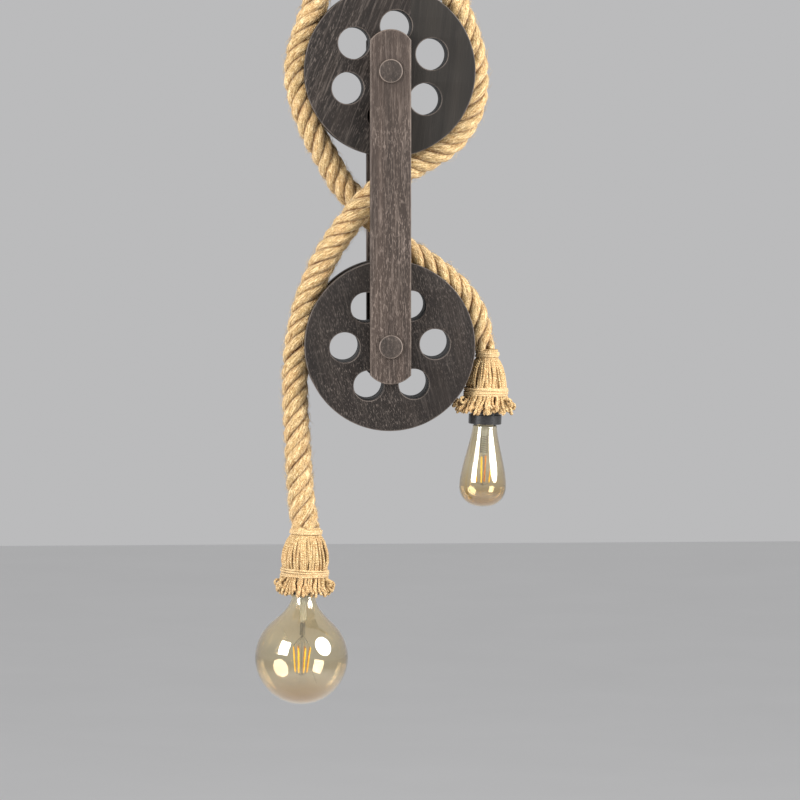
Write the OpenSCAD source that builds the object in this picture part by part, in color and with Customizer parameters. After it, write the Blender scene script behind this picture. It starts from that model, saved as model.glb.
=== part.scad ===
// Double pulley rope pendant light: two grooved wooden wheels between two bars, one thick jute
// rope laid round them in a figure of eight, and a tasselled screw lampholder on each rope end.
// Millimetres, +Z up, the front looks along -Y. The origin is on the ceiling, over the hook.

/* [Ceiling fixture] */
// Radius of the ceiling plate
plate_r = 50; // [45:1:70]
// Thickness of the ceiling plate
plate_t = 5; // [4:1:8]
// Diameter of the circle of screw holes in the plate
plate_pcd = 76; // [70:1:84]
// Radius of each screw hole in the plate
plate_hole_r = 2.75; // [2:0.25:4]
// Radius of the round bar of the eye under the plate
eye_bar_r = 4; // [3:0.5:5]
// Radius of the round bar of the rope hook
hook_bar_r = 5; // [4:0.5:6]

/* [Wheels] */
// Outer radius of both wheels
wheel_r = 115.5; // [112:0.5:118]
// Radius of the core disc at the bottom of the rope groove
core_r = 96.5; // [88:0.5:97]
// Thickness of each flange disc
flange_t = 18; // [12:1:20]
// Width of the rope groove between the flanges
groove_w = 40; // [39:0.5:42]
// Diameter of the circle that the six holes of a wheel lie on
hole_pcd = 122; // [110:1:130]
// Radius of the six holes in the upper wheel
upper_hole_r = 21.5; // [15:0.5:24]
// Radius of the six holes in the lower wheel
lower_hole_r = 20.5; // [15:0.5:24]
// Turn of the upper wheel at rest, clockwise from the front
upper_turn = 8; // [0:1:59]
// Turn of the lower wheel at rest, clockwise from the front
lower_turn = 28; // [0:1:59]
// Distance from the centre to the glued seam in the upper wheel's front disc
seam_x = 28; // [20:1:60]

/* [Bars and axles] */
// Distance between the two axles
axle_spacing = 370; // [366:1:374]
// Width of the front and rear bars
bar_w = 55; // [40:1:60]
// Thickness of the front and rear bars
bar_t = 18; // [12:1:24]
// Height of the bar above the upper axle
bar_top = 56; // [40:1:60]
// Length of the bar below the lower axle
bar_foot = 51; // [40:1:60]
// Radius of the arc at the top end of a bar
bar_top_arc = 33; // [30:1:60]
// Radius of the arc at the bottom end of a bar
bar_foot_arc = 37; // [30:1:60]
// Radius of the dowel axles
axle_r = 16; // [10:0.5:18]
// Length of dowel that stands proud of each bar
axle_proud = 5; // [2:0.5:10]

/* [Rope and lampholders] */
// Radius of the rope
rope_r = 18; // [16:0.5:18]
// Radius of the lampholder's body
holder_r = 20; // [19:0.5:21]
// Radius of the ring at the lampholder's mouth
ring_r = 22.5; // [22:0.5:24]
// Height of the ring at the lampholder's mouth
ring_h = 13; // [8:1:16]

/* [Bulbs] */
// Radius of the globe bulb on the left
globe_r = 63.5; // [60:0.5:64]
// Length of the globe bulb with its screw cap
globe_l = 178; // [172:1:180]
// Largest radius of the teardrop bulb on the right
drop_r = 32; // [30:0.5:33]
// Length of the teardrop bulb with its screw cap
drop_l = 140; // [136:1:145]
// Thickness of the bulbs' glass
glass_t = 1.2; // [0.8:0.1:2]

/* [Hidden] */
round_fn = 96;
small_fn = 48;
left = 0;
right = 1;

// Heights of the hanging parts, below the ceiling
running_gap = 0.3;
eye_r = 17;                                   // centre line of the eye's half ring
eye_leg = 15;
eye_z = -plate_t - eye_leg - eye_r;           // centre of the eye's bar where the hook hangs
hook_top_r = eye_bar_r + running_gap + hook_bar_r;
bowl_ease = 5.3;                              // side room for the rope in the bowl
hook_bowl_r = rope_r + bowl_ease + hook_bar_r; // centre line of the bowl that the rope lies in
hook_gap = 62;                                // distance between the centres of the two bowls
bowl_z = eye_z - hook_gap;
saddle_z = bowl_z - hook_bowl_r;              // centre of the hook's bar under the rope
hook_lean = asin((hook_bowl_r - hook_top_r) / hook_gap);
hook_tip_top = 305;
hook_tip_bowl = -105;
hook_ease = 1.5;
rope_top_z = saddle_z + hook_bar_r + running_gap + rope_r;

// Place of the wheels: the rope's crest is a little to the left of the upper axle
crest_x = -6;
crest_rise = 206;
block_x = -crest_x;
upper_z = rope_top_z - crest_rise;
lower_drop = -axle_spacing;

// Stack along the axles, from the middle outwards
wheel_half = groove_w / 2 + flange_t;
spacer_gap = 0.3;
spacer_t = 3;
spacer_r = 25;
spacer_bore_r = axle_r + 0.2;
bore_r = axle_r + 0.06;
bar_in = wheel_half + spacer_gap + spacer_t;
axle_half = bar_in + bar_t + axle_proud;
axle_edge = 1.5;

// The rope's route in millimetres from the upper axle: [x, y, z]
left_run = [
    [-6, 0, 206], [26, 0, 199], [51, 0, 177], [69, 0, 146], [85, 0, 107], [100, 0, 69],
    [113, 0, 31], [118, 0, -4], [116, 0, -38], [106, 0, -66], [86, 0, -94], [61, 0, -112],
    [35, -1, -127], [11, -8, -141], [-25, -18.5, -170], [-49, -18.5, -197], [-72, -12, -229],
    [-91, -4, -262], [-108, 0, -303], [-118, 0, -338], [-124, 0, -371], [-127, 0, -407],
    [-127, 0, -444]];
left_tail = [
    [-127, 0, -450], [-125, 0, -485], [-123, 0, -520], [-121, 0, -555], [-118, 0, -588],
    [-113, 0, -621]];
right_run = [
    [-6, 0, 206], [-38, 0, 199], [-62, 0, 179], [-77, 0, 150], [-88, 0, 121], [-99, 0, 90],
    [-110, 0, 59], [-120, 0, 27], [-124, 0, -4], [-119, 0, -35], [-109, 0, -66], [-97, 1, -93],
    [-82, 11, -120], [-64, 18.5, -151], [-44, 18.5, -174], [-24, 18.5, -195], [-2, 11, -218],
    [21, 3, -240], [47, 0, -257], [74, 0, -277], [96, 0, -297], [113, 0, -320], [124, 0, -346],
    [128, 0, -366]];
right_tail = [[131, 0, -374], [134, 0, -380]];
rope_sides = 12;

// Each lamp hangs from the top of its tassel: place from the upper axle, lean, and drop of its bulb
tassel_top = [[-112, -619], [135, -377]];
lean = [2.2, 2];
bulb_drop = [64, 75];                         // from the tassel's top to the bulb's tip contact
tassel_end = [67, 63];                        // from the tassel's top to the foot of its lower binding
fringe_end = [93, 88];
fringe_r = [40, 41];
top_band = [[2, 9, 20, 22], [2, 11, 14, 16]]; // start, end, inner radius, outer radius
low_band = [[55.5, 67, 31, 33.4], [51, 63, 28, 30]];

// Lampholder, measured down from the bulb's tip contact
mouth = 27;
body_top = -10;
cap_top = -28;
grip_top = -38;
grip_r = 7;
cap_neck_r = 10;
cap_slope_end = body_top - 4;
wall = 2.5;
lead_r = 3.5;
core_wall_r = 16.5;
thread_r = 14.2;
thread_in_r = 13.5;
contact_r = 4;

// Screw cap of a bulb
cap_start = 7;
cap_r = 12.9;
cap_wave = 0.25;
cap_pitch = 3.63;
cap_wall = 0.7;
neck_start = 20;
neck_r = 11.6;
insulator_r = 5.4;
tip_r = 4.8;
tip_t = 2.5;

// Filaments of each bulb, measured down from the tip contact: top, bottom, and radius at each
filament_count = [8, 4];
filament_turn = [22.5, 72];
filament_top = [100, 71];
filament_end = [135, 107];
filament_top_r = [12.3, 12];
filament_end_r = [8.3, 8.5];
filament_r = 1;
wire_r = 0.5;
hub_r = 1.2;

// Glass stem of each bulb, and the coil of wire at its end: radius, start, end and pitch
stem_r = [5, 3.2];
stem_end = [66, 69];
stem_foot_r = 9;
coil_r = [3.2, 5.8];
coil_start = [67, 43];
coil_end = [84, 67];
coil_pitch = [1.7, 3];

// ---- helpers ----

module at_upper() translate([block_x, 0, upper_z]) children();
module at_lower() translate([block_x, 0, upper_z + lower_drop]) children();

// A lamp's own frame: origin at the top of its tassel, -Z along the lampholder
module at_lamp(side)
    translate([block_x + tassel_top[side][0], 0, upper_z + tassel_top[side][1]])
        rotate([0, lean[side], 0]) children();

// Cylinder along Y from y0 to y1
module along_y(r, y0, y1)
    translate([0, y1, 0]) rotate([90, 0, 0]) cylinder(r = r, h = y1 - y0, $fn = round_fn);

// Turned piece from [radius, distance below the frame's origin] points
module turned(points) rotate_extrude($fn = round_fn) polygon([for (p = points) [p[0], -p[1]]]);

// Plain ring between two distances below the frame's origin
module ring(r_out, r_in, top, end) turned([[r_in, top], [r_out, top], [r_out, end], [r_in, end]]);

// Round rod between two points
module rod(a, b, r) {
    d = b - a;
    flat = norm([d[0], d[1]]);
    translate(a)
        rotate([0, atan2(flat, d[2]), atan2(d[1], d[0])])
            cylinder(r = r, h = norm(d), $fn = 24);
}

function bezier(a, b, c, d, u) =
    pow(1 - u, 3) * a + 3 * pow(1 - u, 2) * u * b + 3 * (1 - u) * u * u * c + pow(u, 3) * d;
function unit(v) = v / norm(v);

// Tangent of a route at point i; the first and last may be given
function tangent(route, i, first, last) =
    i == 0 && first != undef ? first
    : i == len(route) - 1 && last != undef ? last
    : unit(route[min(i + 1, len(route) - 1)] - route[max(i - 1, 0)]);

// One closed tube along a route, a ring of points at each of the route's points.
// across is a direction that the route never runs along; ends is each point's share of the radius.
module tube(route, first = undef, last = undef, r = rope_r, n = rope_sides, across = [0, 1, 0],
            ends = undef) {
    count = len(route);
    rings = [for (i = [0 : count - 1])
        let (t = tangent(route, i, first, last),
             a = unit(cross(t, across)),
             b = cross(t, a),
             share = ends == undef ? 1 : ends[i])
        for (k = [0 : n - 1])
            route[i] + share * r * (cos(360 * k / n) * a + sin(360 * k / n) * b)];
    sides = [for (i = [0 : count - 2]) for (k = [0 : n - 1])
        let (p = i * n + k,
             q = i * n + (k + 1) % n)
        each [[p, q, q + n], [p, q + n, p + n]]];
    start = [for (k = [n - 1 : -1 : 0]) k];
    end = [for (k = [0 : n - 1]) (count - 1) * n + k];
    polyhedron(points = rings, faces = concat([start], sides, [end]));
}

// ---- ceiling fixture ----

module ceiling_plate() color([0.16, 0.15, 0.15]) difference() {
    translate([0, 0, -plate_t]) cylinder(r = plate_r, h = plate_t, $fn = round_fn);
    for (k = [0 : 3])
        rotate([0, 0, 45 + 90 * k]) translate([plate_pcd / 2, 0, -plate_t - 1])
            cylinder(r = plate_hole_r, h = plate_t + 2, $fn = small_fn);
}

// Half ring under two legs, across X
module ceiling_eye() color([0.2, 0.19, 0.19]) {
    for (side = [-1, 1])
        translate([side * eye_r, 0, -plate_t - eye_leg])
            cylinder(r = eye_bar_r, h = eye_leg, $fn = small_fn);
    translate([0, 0, -plate_t - eye_leg])
        rotate([90, 0, 0]) rotate_extrude(angle = 180, start = 180, $fn = round_fn)
            translate([eye_r, 0]) circle(r = eye_bar_r, $fn = small_fn);
}

// Point of the hook's centre line on a bowl in the YZ plane: 0 degrees is straight down, 90 is back
function hook_point(z, radius, angle) = [0, radius * sin(angle), z - radius * cos(angle)];
function hook_arc(z, radius, from, to, steps) =
    [for (k = [0 : steps]) hook_point(z, radius, from + (to - from) * k / steps)];

// One bent round bar with eased ends: a small bowl over the eye, a straight shank, and a large
// bowl under the rope
module rope_hook() color([0.2, 0.19, 0.19]) {
    shank = 90 + hook_lean;
    upper = hook_arc(eye_z, hook_top_r, hook_tip_top, shank, 22);
    lower = hook_arc(bowl_z, hook_bowl_r, shank, hook_tip_bowl, 28);
    line = concat(upper, lower);
    last = len(line) - 1;
    out_top = unit(line[0] - line[1]);
    out_bowl = unit(line[last] - line[last - 1]);
    tube(
        concat([line[0] + hook_ease * out_top], line, [line[last] + hook_ease * out_bowl]),
        r = hook_bar_r, n = 24, across = [1, 0, 0],
        ends = concat([0.7], [for (p = line) 1], [0.7]));
}

// ---- bars and axles ----

// Outline of a bar in X and Z from the upper axle, with a shallow arc at each end
module bar_outline() intersection() {
    translate([-bar_w / 2, lower_drop - bar_foot]) square([bar_w, bar_top + bar_foot + axle_spacing]);
    union() {
        translate([0, bar_top - bar_top_arc]) circle(r = bar_top_arc, $fn = round_fn);
        translate([0, lower_drop - bar_foot + bar_foot_arc]) circle(r = bar_foot_arc, $fn = round_fn);
        translate([-bar_w / 2, lower_drop - bar_foot + bar_foot_arc])
            square([bar_w, axle_spacing + bar_top + bar_foot - bar_top_arc - bar_foot_arc]);
    }
}

module bar(side) {
    middle = side * (bar_in + bar_t / 2);
    at_upper() difference() {
        translate([0, middle + bar_t / 2, 0])
            rotate([90, 0, 0]) linear_extrude(height = bar_t) bar_outline();
        for (z = [0, lower_drop])
            translate([0, 0, z]) along_y(axle_r, middle - bar_t, middle + bar_t);
    }
}
module front_bar() color([0.24, 0.19, 0.18]) bar(-1);
module rear_bar() color([0.24, 0.19, 0.18]) bar(1);

// Dowel with eased ends
module axle() color([0.26, 0.21, 0.20]) rotate([90, 0, 0]) turned([
    [0, -axle_half], [axle_r - axle_edge, -axle_half], [axle_r, axle_edge - axle_half],
    [axle_r, axle_half - axle_edge], [axle_r - axle_edge, axle_half], [0, axle_half]]);
module upper_axle() at_upper() axle();
module lower_axle() at_lower() axle();

module spacer(side) color([0.13, 0.11, 0.10]) {
    near = wheel_half + spacer_gap;
    difference() {
        along_y(spacer_r, side > 0 ? near : -bar_in, side > 0 ? bar_in : -near);
        along_y(spacer_bore_r, -axle_half, axle_half);
    }
}
module upper_front_spacer() at_upper() spacer(-1);
module upper_rear_spacer() at_upper() spacer(1);
module lower_front_spacer() at_lower() spacer(-1);
module lower_rear_spacer() at_lower() spacer(1);

// ---- wheels ----

// Disc from y0 to y1 with the axle's bore and six round holes
module disc(r, y0, y1, hole_r, turn) difference() {
    along_y(r, y0, y1);
    along_y(bore_r, y0 - 1, y1 + 1);
    for (k = [0 : 5])
        rotate([0, turn + 60 * k, 0]) translate([0, 0, hole_pcd / 2]) along_y(hole_r, y0 - 1, y1 + 1);
}
module front_disc(hole_r, turn) disc(wheel_r, -wheel_half, -groove_w / 2, hole_r, turn);
module rear_disc(hole_r, turn) disc(wheel_r, groove_w / 2, wheel_half, hole_r, turn);
module core_disc(hole_r, turn) disc(core_r, -groove_w / 2, groove_w / 2, hole_r, turn);

// The upper wheel's front disc is glued up from two boards; this is the space of one of them
module board_space(side)
    translate([side > 0 ? seam_x : seam_x - 2 * wheel_r, -wheel_half - 1, -wheel_r - 1])
        cube([2 * wheel_r, flange_t + 2, 2 * wheel_r + 2]);

module upper_front_board_left() color([0.17, 0.14, 0.14]) at_upper() intersection() {
    front_disc(upper_hole_r, upper_turn);
    board_space(-1);
}
module upper_front_board_right() color([0.15, 0.14, 0.14]) at_upper() intersection() {
    front_disc(upper_hole_r, upper_turn);
    board_space(1);
}
module upper_core() color([0.12, 0.10, 0.10]) at_upper() core_disc(upper_hole_r, upper_turn);
module upper_rear_flange() color([0.16, 0.13, 0.13]) at_upper() rear_disc(upper_hole_r, upper_turn);
module lower_front_flange() color([0.16, 0.13, 0.13]) at_lower() front_disc(lower_hole_r, lower_turn);
module lower_core() color([0.12, 0.10, 0.10]) at_lower() core_disc(lower_hole_r, lower_turn);
module lower_rear_flange() color([0.16, 0.13, 0.13]) at_lower() rear_disc(lower_hole_r, lower_turn);

// ---- rope ----

module left_rope_run() color([0.74, 0.60, 0.38]) at_upper() tube(left_run, [1, 0, 0], [0, 0, -1]);
module left_rope_tail() color([0.74, 0.60, 0.38]) at_upper() tube(left_tail, [0, 0, -1]);
module right_rope_run() color([0.74, 0.60, 0.38]) at_upper() tube(right_run, [-1, 0, 0], unit([3, 0, -8]));
module right_rope_tail() color([0.74, 0.60, 0.38])
    at_upper() tube(right_tail, unit([3, 0, -8]), unit([3, 0, -8]));

// ---- tassels: the rope's opened end over the lampholder ----

// Outer line of a tassel, [radius, distance below its top]
tassel_line = [
    [[18, 0], [20, 2], [20, 9], [26.5, 19], [31, 33], [32.3, 46], [31, 55.5], [31, 67]],
    [[14, 0], [14, 11], [18.5, 17], [22.8, 25], [25.4, 34], [27.5, 45], [28, 51], [28, 63]]];
holder_clear = 0.3;

module tassel(side) {
    b = bulb_drop[side];
    end = tassel_end[side];
    holder_line = [
        [grip_r + holder_clear, b + grip_top - holder_clear],
        [grip_r + holder_clear, b + cap_top - holder_clear],
        [cap_neck_r + holder_clear, b + cap_top - holder_clear],
        [holder_r + holder_clear, b + cap_slope_end],
        [holder_r + holder_clear, end]];
    inner = [for (k = [len(holder_line) - 1 : -1 : 0]) holder_line[k]];
    color([0.76, 0.62, 0.40])
        at_lamp(side) turned(concat([[0, 0]], tassel_line[side], inner, [[0, b + grip_top - holder_clear]]));
}
module left_tassel() tassel(left);
module right_tassel() tassel(right);

module binding(side, band) color([0.80, 0.66, 0.44])
    at_lamp(side) ring(band[side][3], band[side][2], band[side][0], band[side][1]);
module left_top_binding() binding(left, top_band);
module right_top_binding() binding(right, top_band);
module left_lower_binding() binding(left, low_band);
module right_lower_binding() binding(right, low_band);

// Skirt of yarn ends below the lower binding, open round the lampholder's ring
module fringe(side) {
    start_r = low_band[side][2];
    inner_r = ring_r + 1;
    color([0.78, 0.64, 0.42])
        at_lamp(side) turned([[inner_r, tassel_end[side]], [start_r, tassel_end[side]],
            [fringe_r[side], fringe_end[side]], [inner_r + 3, fringe_end[side]]]);
}
module left_fringe() fringe(left);
module right_fringe() fringe(right);

// ---- lampholders, in the bulb's measure ----

module at_bulb(side) at_lamp(side) translate([0, 0, -bulb_drop[side]]) children();

module cord_grip(side) color([0.08, 0.08, 0.08])
    at_bulb(side) ring(grip_r, lead_r, grip_top, cap_top);
module holder_cap(side) color([0.09, 0.09, 0.09])
    at_bulb(side) turned([[lead_r, cap_top], [cap_neck_r, cap_top], [holder_r, cap_slope_end],
        [holder_r, body_top], [holder_r - wall, body_top], [holder_r - wall, body_top - 3],
        [cap_neck_r - 1, cap_top + wall], [lead_r, cap_top + wall]]);
module holder_body(side) color([0.09, 0.09, 0.09])
    at_bulb(side) ring(holder_r, core_wall_r, body_top, mouth);
module holder_ring(side) color([0.06, 0.06, 0.06])
    at_bulb(side) turned([[holder_r, mouth - ring_h], [ring_r - 0.8, mouth - ring_h],
        [ring_r, mouth - ring_h + 0.8], [ring_r, mouth - 0.8], [ring_r - 0.8, mouth], [holder_r, mouth]]);
module holder_core(side) color([0.85, 0.83, 0.78])
    at_bulb(side) turned([[0, body_top + 1], [core_wall_r, body_top + 1], [core_wall_r, mouth - 4],
        [thread_r, mouth - 4], [thread_r, -3], [0, -3]]);
module holder_thread(side) color([0.75, 0.60, 0.30])
    at_bulb(side) ring(thread_r, thread_in_r, 2, mouth - 4);
module holder_contact(side) color([0.75, 0.60, 0.30])
    at_bulb(side) turned([[0, -3], [contact_r, -3], [contact_r, -0.8], [contact_r - 0.5, -running_gap],
        [0, -running_gap]]);

module left_cord_grip() cord_grip(left);
module left_holder_cap() holder_cap(left);
module left_holder_body() holder_body(left);
module left_holder_ring() holder_ring(left);
module left_holder_core() holder_core(left);
module left_holder_thread() holder_thread(left);
module left_holder_contact() holder_contact(left);
module right_cord_grip() cord_grip(right);
module right_holder_cap() holder_cap(right);
module right_holder_body() holder_body(right);
module right_holder_ring() holder_ring(right);
module right_holder_core() holder_core(right);
module right_holder_thread() holder_thread(right);
module right_holder_contact() holder_contact(right);

// ---- bulbs ----

// Outer line of the globe from its neck to its foot, [radius, distance below the tip contact]
globe_c = globe_l - globe_r;
globe_join = 42;
globe_line = concat(
    [for (k = [0 : 8]) bezier([16.5, 30], [16.5, 44],
        [globe_r * sin(globe_join), globe_c - globe_r * cos(globe_join)]
            - 18 * [cos(globe_join), sin(globe_join)],
        [globe_r * sin(globe_join), globe_c - globe_r * cos(globe_join)], k / 8)],
    [for (a = [globe_join + 6 : 6 : 180]) [globe_r * sin(a), globe_c - globe_r * cos(a)]]);

// Outer line of the teardrop, [radius, distance below the tip contact]
drop_wide = 110;
drop_power = 2.3;
drop_line = concat(
    [for (k = [0 : 8]) bezier([16.6, 29], [18, 52], [drop_r - 1, 84], [drop_r, drop_wide], k / 8)],
    [for (a = [10 : 10 : 90])
        [drop_r * pow(cos(a), 2 / drop_power),
         drop_wide + (drop_l - drop_wide) * pow(sin(a), 2 / drop_power)]]);

// Inner line of a glass: the outer one, moved in by the glass's thickness
function inset(line) = [for (k = [len(line) - 1 : -1 : 0])
    let (d = unit(line[min(k + 1, len(line) - 1)] - line[max(k - 1, 0)]),
         p = line[k] + glass_t * [-d[1], d[0]])
    k == len(line) - 1 ? [0, line[k][1] - glass_t] : [max(p[0], 0), p[1]]];

module glass(side, line) color([0.95, 0.75, 0.35, 0.45])
    at_bulb(side) turned(concat(
        [[neck_r, neck_start], [neck_r, mouth + 0.3]], line, inset(line),
        [[neck_r - glass_t, mouth + 1], [neck_r - glass_t, neck_start]]));
module left_glass() glass(left, globe_line);
module right_glass() glass(right, drop_line);

// Screw shell with rounded thread ridges
module bulb_cap(side) {
    wave = [for (t = [cap_start : cap_pitch / 6 : mouth])
        [cap_r + cap_wave * cos(360 * (t - cap_start) / cap_pitch + 180), t]];
    color([0.78, 0.77, 0.74]) at_bulb(side) turned(concat(
        wave, [[cap_r, mouth], [cap_r - cap_wall - cap_wave, mouth],
        [cap_r - cap_wall - cap_wave, cap_start + 1], [insulator_r + 4, cap_start + 1],
        [insulator_r + 4, cap_start]]));
}
module left_bulb_cap() bulb_cap(left);
module right_bulb_cap() bulb_cap(right);

module cap_insulator(side) color([0.05, 0.05, 0.06])
    at_bulb(side) turned([[0, tip_t], [insulator_r, tip_t], [insulator_r + 4, cap_start], [0, cap_start]]);
module left_cap_insulator() cap_insulator(left);
module right_cap_insulator() cap_insulator(right);

module tip_contact(side) color([0.80, 0.79, 0.76])
    at_bulb(side) turned([[0, 0], [tip_r - 1.5, 0], [tip_r, 1], [tip_r, tip_t], [0, tip_t]]);
module left_tip_contact() tip_contact(left);
module right_tip_contact() tip_contact(right);

// Glass stem that carries the filaments
module stem(side) color([0.9, 0.9, 0.85, 0.5])
    at_bulb(side) turned([[0, 24], [stem_foot_r, 24], [stem_foot_r - 2, 30], [stem_r[side], 38],
        [stem_r[side], stem_end[side] - 2], [stem_r[side] - 2, stem_end[side]], [0, stem_end[side]]]);
module left_stem() stem(left);
module right_stem() stem(right);

function filament_at(side, k, t, r) =
    let(a = filament_turn[side] + 360 * k / filament_count[side]) [r * cos(a), r * sin(a), -t];

module filaments(side) color([1.0, 0.72, 0.15]) at_bulb(side)
    for (k = [0 : filament_count[side] - 1])
        rod(filament_at(side, k, filament_top[side], filament_top_r[side]),
            filament_at(side, k, filament_end[side], filament_end_r[side]), filament_r);
module left_filaments() filaments(left);
module right_filaments() filaments(right);

// Coil round the end of the stem, a post from the stem to a hub, and a spoke to both ends of each filament
module filament_wires(side) color([0.7, 0.68, 0.6]) {
    hub = filament_end[side] + 4;
    fan = max(coil_end[side], stem_end[side]) + 1;
    at_bulb(side) {
        for (t = [coil_start[side] : coil_pitch[side] : coil_end[side]])
            translate([0, 0, -t]) rotate_extrude($fn = small_fn)
                translate([coil_r[side], 0]) circle(r = wire_r, $fn = 24);
        rod([0, 0, -stem_end[side]], [0, 0, -hub], wire_r);
        for (k = [0 : filament_count[side] - 1]) {
            rod([0, 0, -fan], filament_at(side, k, filament_top[side], filament_top_r[side] - hub_r), wire_r);
            rod([0, 0, -hub], filament_at(side, k, filament_end[side], filament_end_r[side] - hub_r), wire_r);
        }
    }
}
module left_filament_wires() filament_wires(left);
module right_filament_wires() filament_wires(right);

ceiling_plate();
ceiling_eye();
rope_hook();
front_bar();
rear_bar();
upper_axle();
lower_axle();
upper_front_spacer();
upper_rear_spacer();
lower_front_spacer();
lower_rear_spacer();
upper_front_board_left();
upper_front_board_right();
upper_core();
upper_rear_flange();
lower_front_flange();
lower_core();
lower_rear_flange();
left_rope_run();
right_rope_run();
left_rope_tail();
left_tassel();
left_top_binding();
left_lower_binding();
left_fringe();
left_cord_grip();
left_holder_cap();
left_holder_body();
left_holder_ring();
left_holder_core();
left_holder_thread();
left_holder_contact();
left_glass();
left_bulb_cap();
left_cap_insulator();
left_tip_contact();
left_stem();
left_filaments();
left_filament_wires();
right_rope_tail();
right_tassel();
right_top_binding();
right_lower_binding();
right_fringe();
right_cord_grip();
right_holder_cap();
right_holder_body();
right_holder_ring();
right_holder_core();
right_holder_thread();
right_holder_contact();
right_glass();
right_bulb_cap();
right_cap_insulator();
right_tip_contact();
right_stem();
right_filaments();
right_filament_wires();
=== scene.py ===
"""Double pulley rope pendant light: the looks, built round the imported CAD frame."""
import math
import random

import bmesh
import bpy
from mathutils import Matrix, Vector, noise

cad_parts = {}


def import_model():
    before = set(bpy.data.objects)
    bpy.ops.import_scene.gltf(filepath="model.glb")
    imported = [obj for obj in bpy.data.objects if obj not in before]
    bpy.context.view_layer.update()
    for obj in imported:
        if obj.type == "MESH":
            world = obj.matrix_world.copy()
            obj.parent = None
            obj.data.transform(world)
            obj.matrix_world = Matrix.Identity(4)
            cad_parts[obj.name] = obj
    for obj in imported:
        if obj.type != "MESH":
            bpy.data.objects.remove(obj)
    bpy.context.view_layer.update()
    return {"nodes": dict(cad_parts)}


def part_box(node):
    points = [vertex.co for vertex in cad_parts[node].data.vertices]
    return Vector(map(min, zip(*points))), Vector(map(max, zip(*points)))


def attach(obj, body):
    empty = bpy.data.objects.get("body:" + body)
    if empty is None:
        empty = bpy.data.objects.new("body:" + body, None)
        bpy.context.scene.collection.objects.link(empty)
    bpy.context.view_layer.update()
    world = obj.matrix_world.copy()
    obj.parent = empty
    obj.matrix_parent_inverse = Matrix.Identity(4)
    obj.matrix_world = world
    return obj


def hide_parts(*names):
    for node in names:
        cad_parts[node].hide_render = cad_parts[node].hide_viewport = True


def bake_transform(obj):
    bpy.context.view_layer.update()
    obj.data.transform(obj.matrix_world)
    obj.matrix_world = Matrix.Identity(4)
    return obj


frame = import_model()

MM = 0.001

# ---------------------------------------------------------------- places, from the frame


def middle(node):
    low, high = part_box(node)
    return (low + high) / 2


UPPER = middle("upper_axle")
LOWER = middle("lower_axle")
CEILING_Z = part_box("ceiling_plate")[1].z

# ---------------------------------------------------------------- camera

CAMERA_AZIMUTH = math.radians(-3.27)
CAMERA_ELEVATION = math.radians(4.03)
CAMERA_DISTANCE = 6.0
METRES_ACROSS = 1.088
SENSOR = 36.0
TARGET = UPPER + Vector((0.0157, 0, -0.446))


def make_camera():
    data = bpy.data.cameras.new("camera")
    data.sensor_width = SENSOR
    data.lens = CAMERA_DISTANCE * SENSOR / METRES_ACROSS
    data.clip_end = 50
    cam = bpy.data.objects.new("camera", data)
    bpy.context.collection.objects.link(cam)
    back = Vector((
        math.sin(CAMERA_AZIMUTH) * math.cos(CAMERA_ELEVATION),
        -math.cos(CAMERA_AZIMUTH) * math.cos(CAMERA_ELEVATION),
        math.sin(CAMERA_ELEVATION)))
    cam.location = TARGET + CAMERA_DISTANCE * back
    cam.rotation_mode = "QUATERNION"
    cam.rotation_quaternion = (-back).to_track_quat("-Z", "Y")
    bpy.context.scene.camera = cam


make_camera()

# ---------------------------------------------------------------- mesh helpers


def make_mesh(name, verts, faces, uvs=None, smooth=True):
    """A mesh object from lists; uvs gives one pair for each corner, face after face."""
    mesh = bpy.data.meshes.new(name)
    mesh.from_pydata([tuple(v) for v in verts], [], faces)
    if uvs is not None:
        layer = mesh.uv_layers.new(name="uv")
        layer.data.foreach_set("uv", [c for pair in uvs for c in pair])
    mesh.polygons.foreach_set("use_smooth", [smooth] * len(mesh.polygons))
    mesh.update()
    obj = bpy.data.objects.new(name, mesh)
    bpy.context.collection.objects.link(obj)
    return obj


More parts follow.
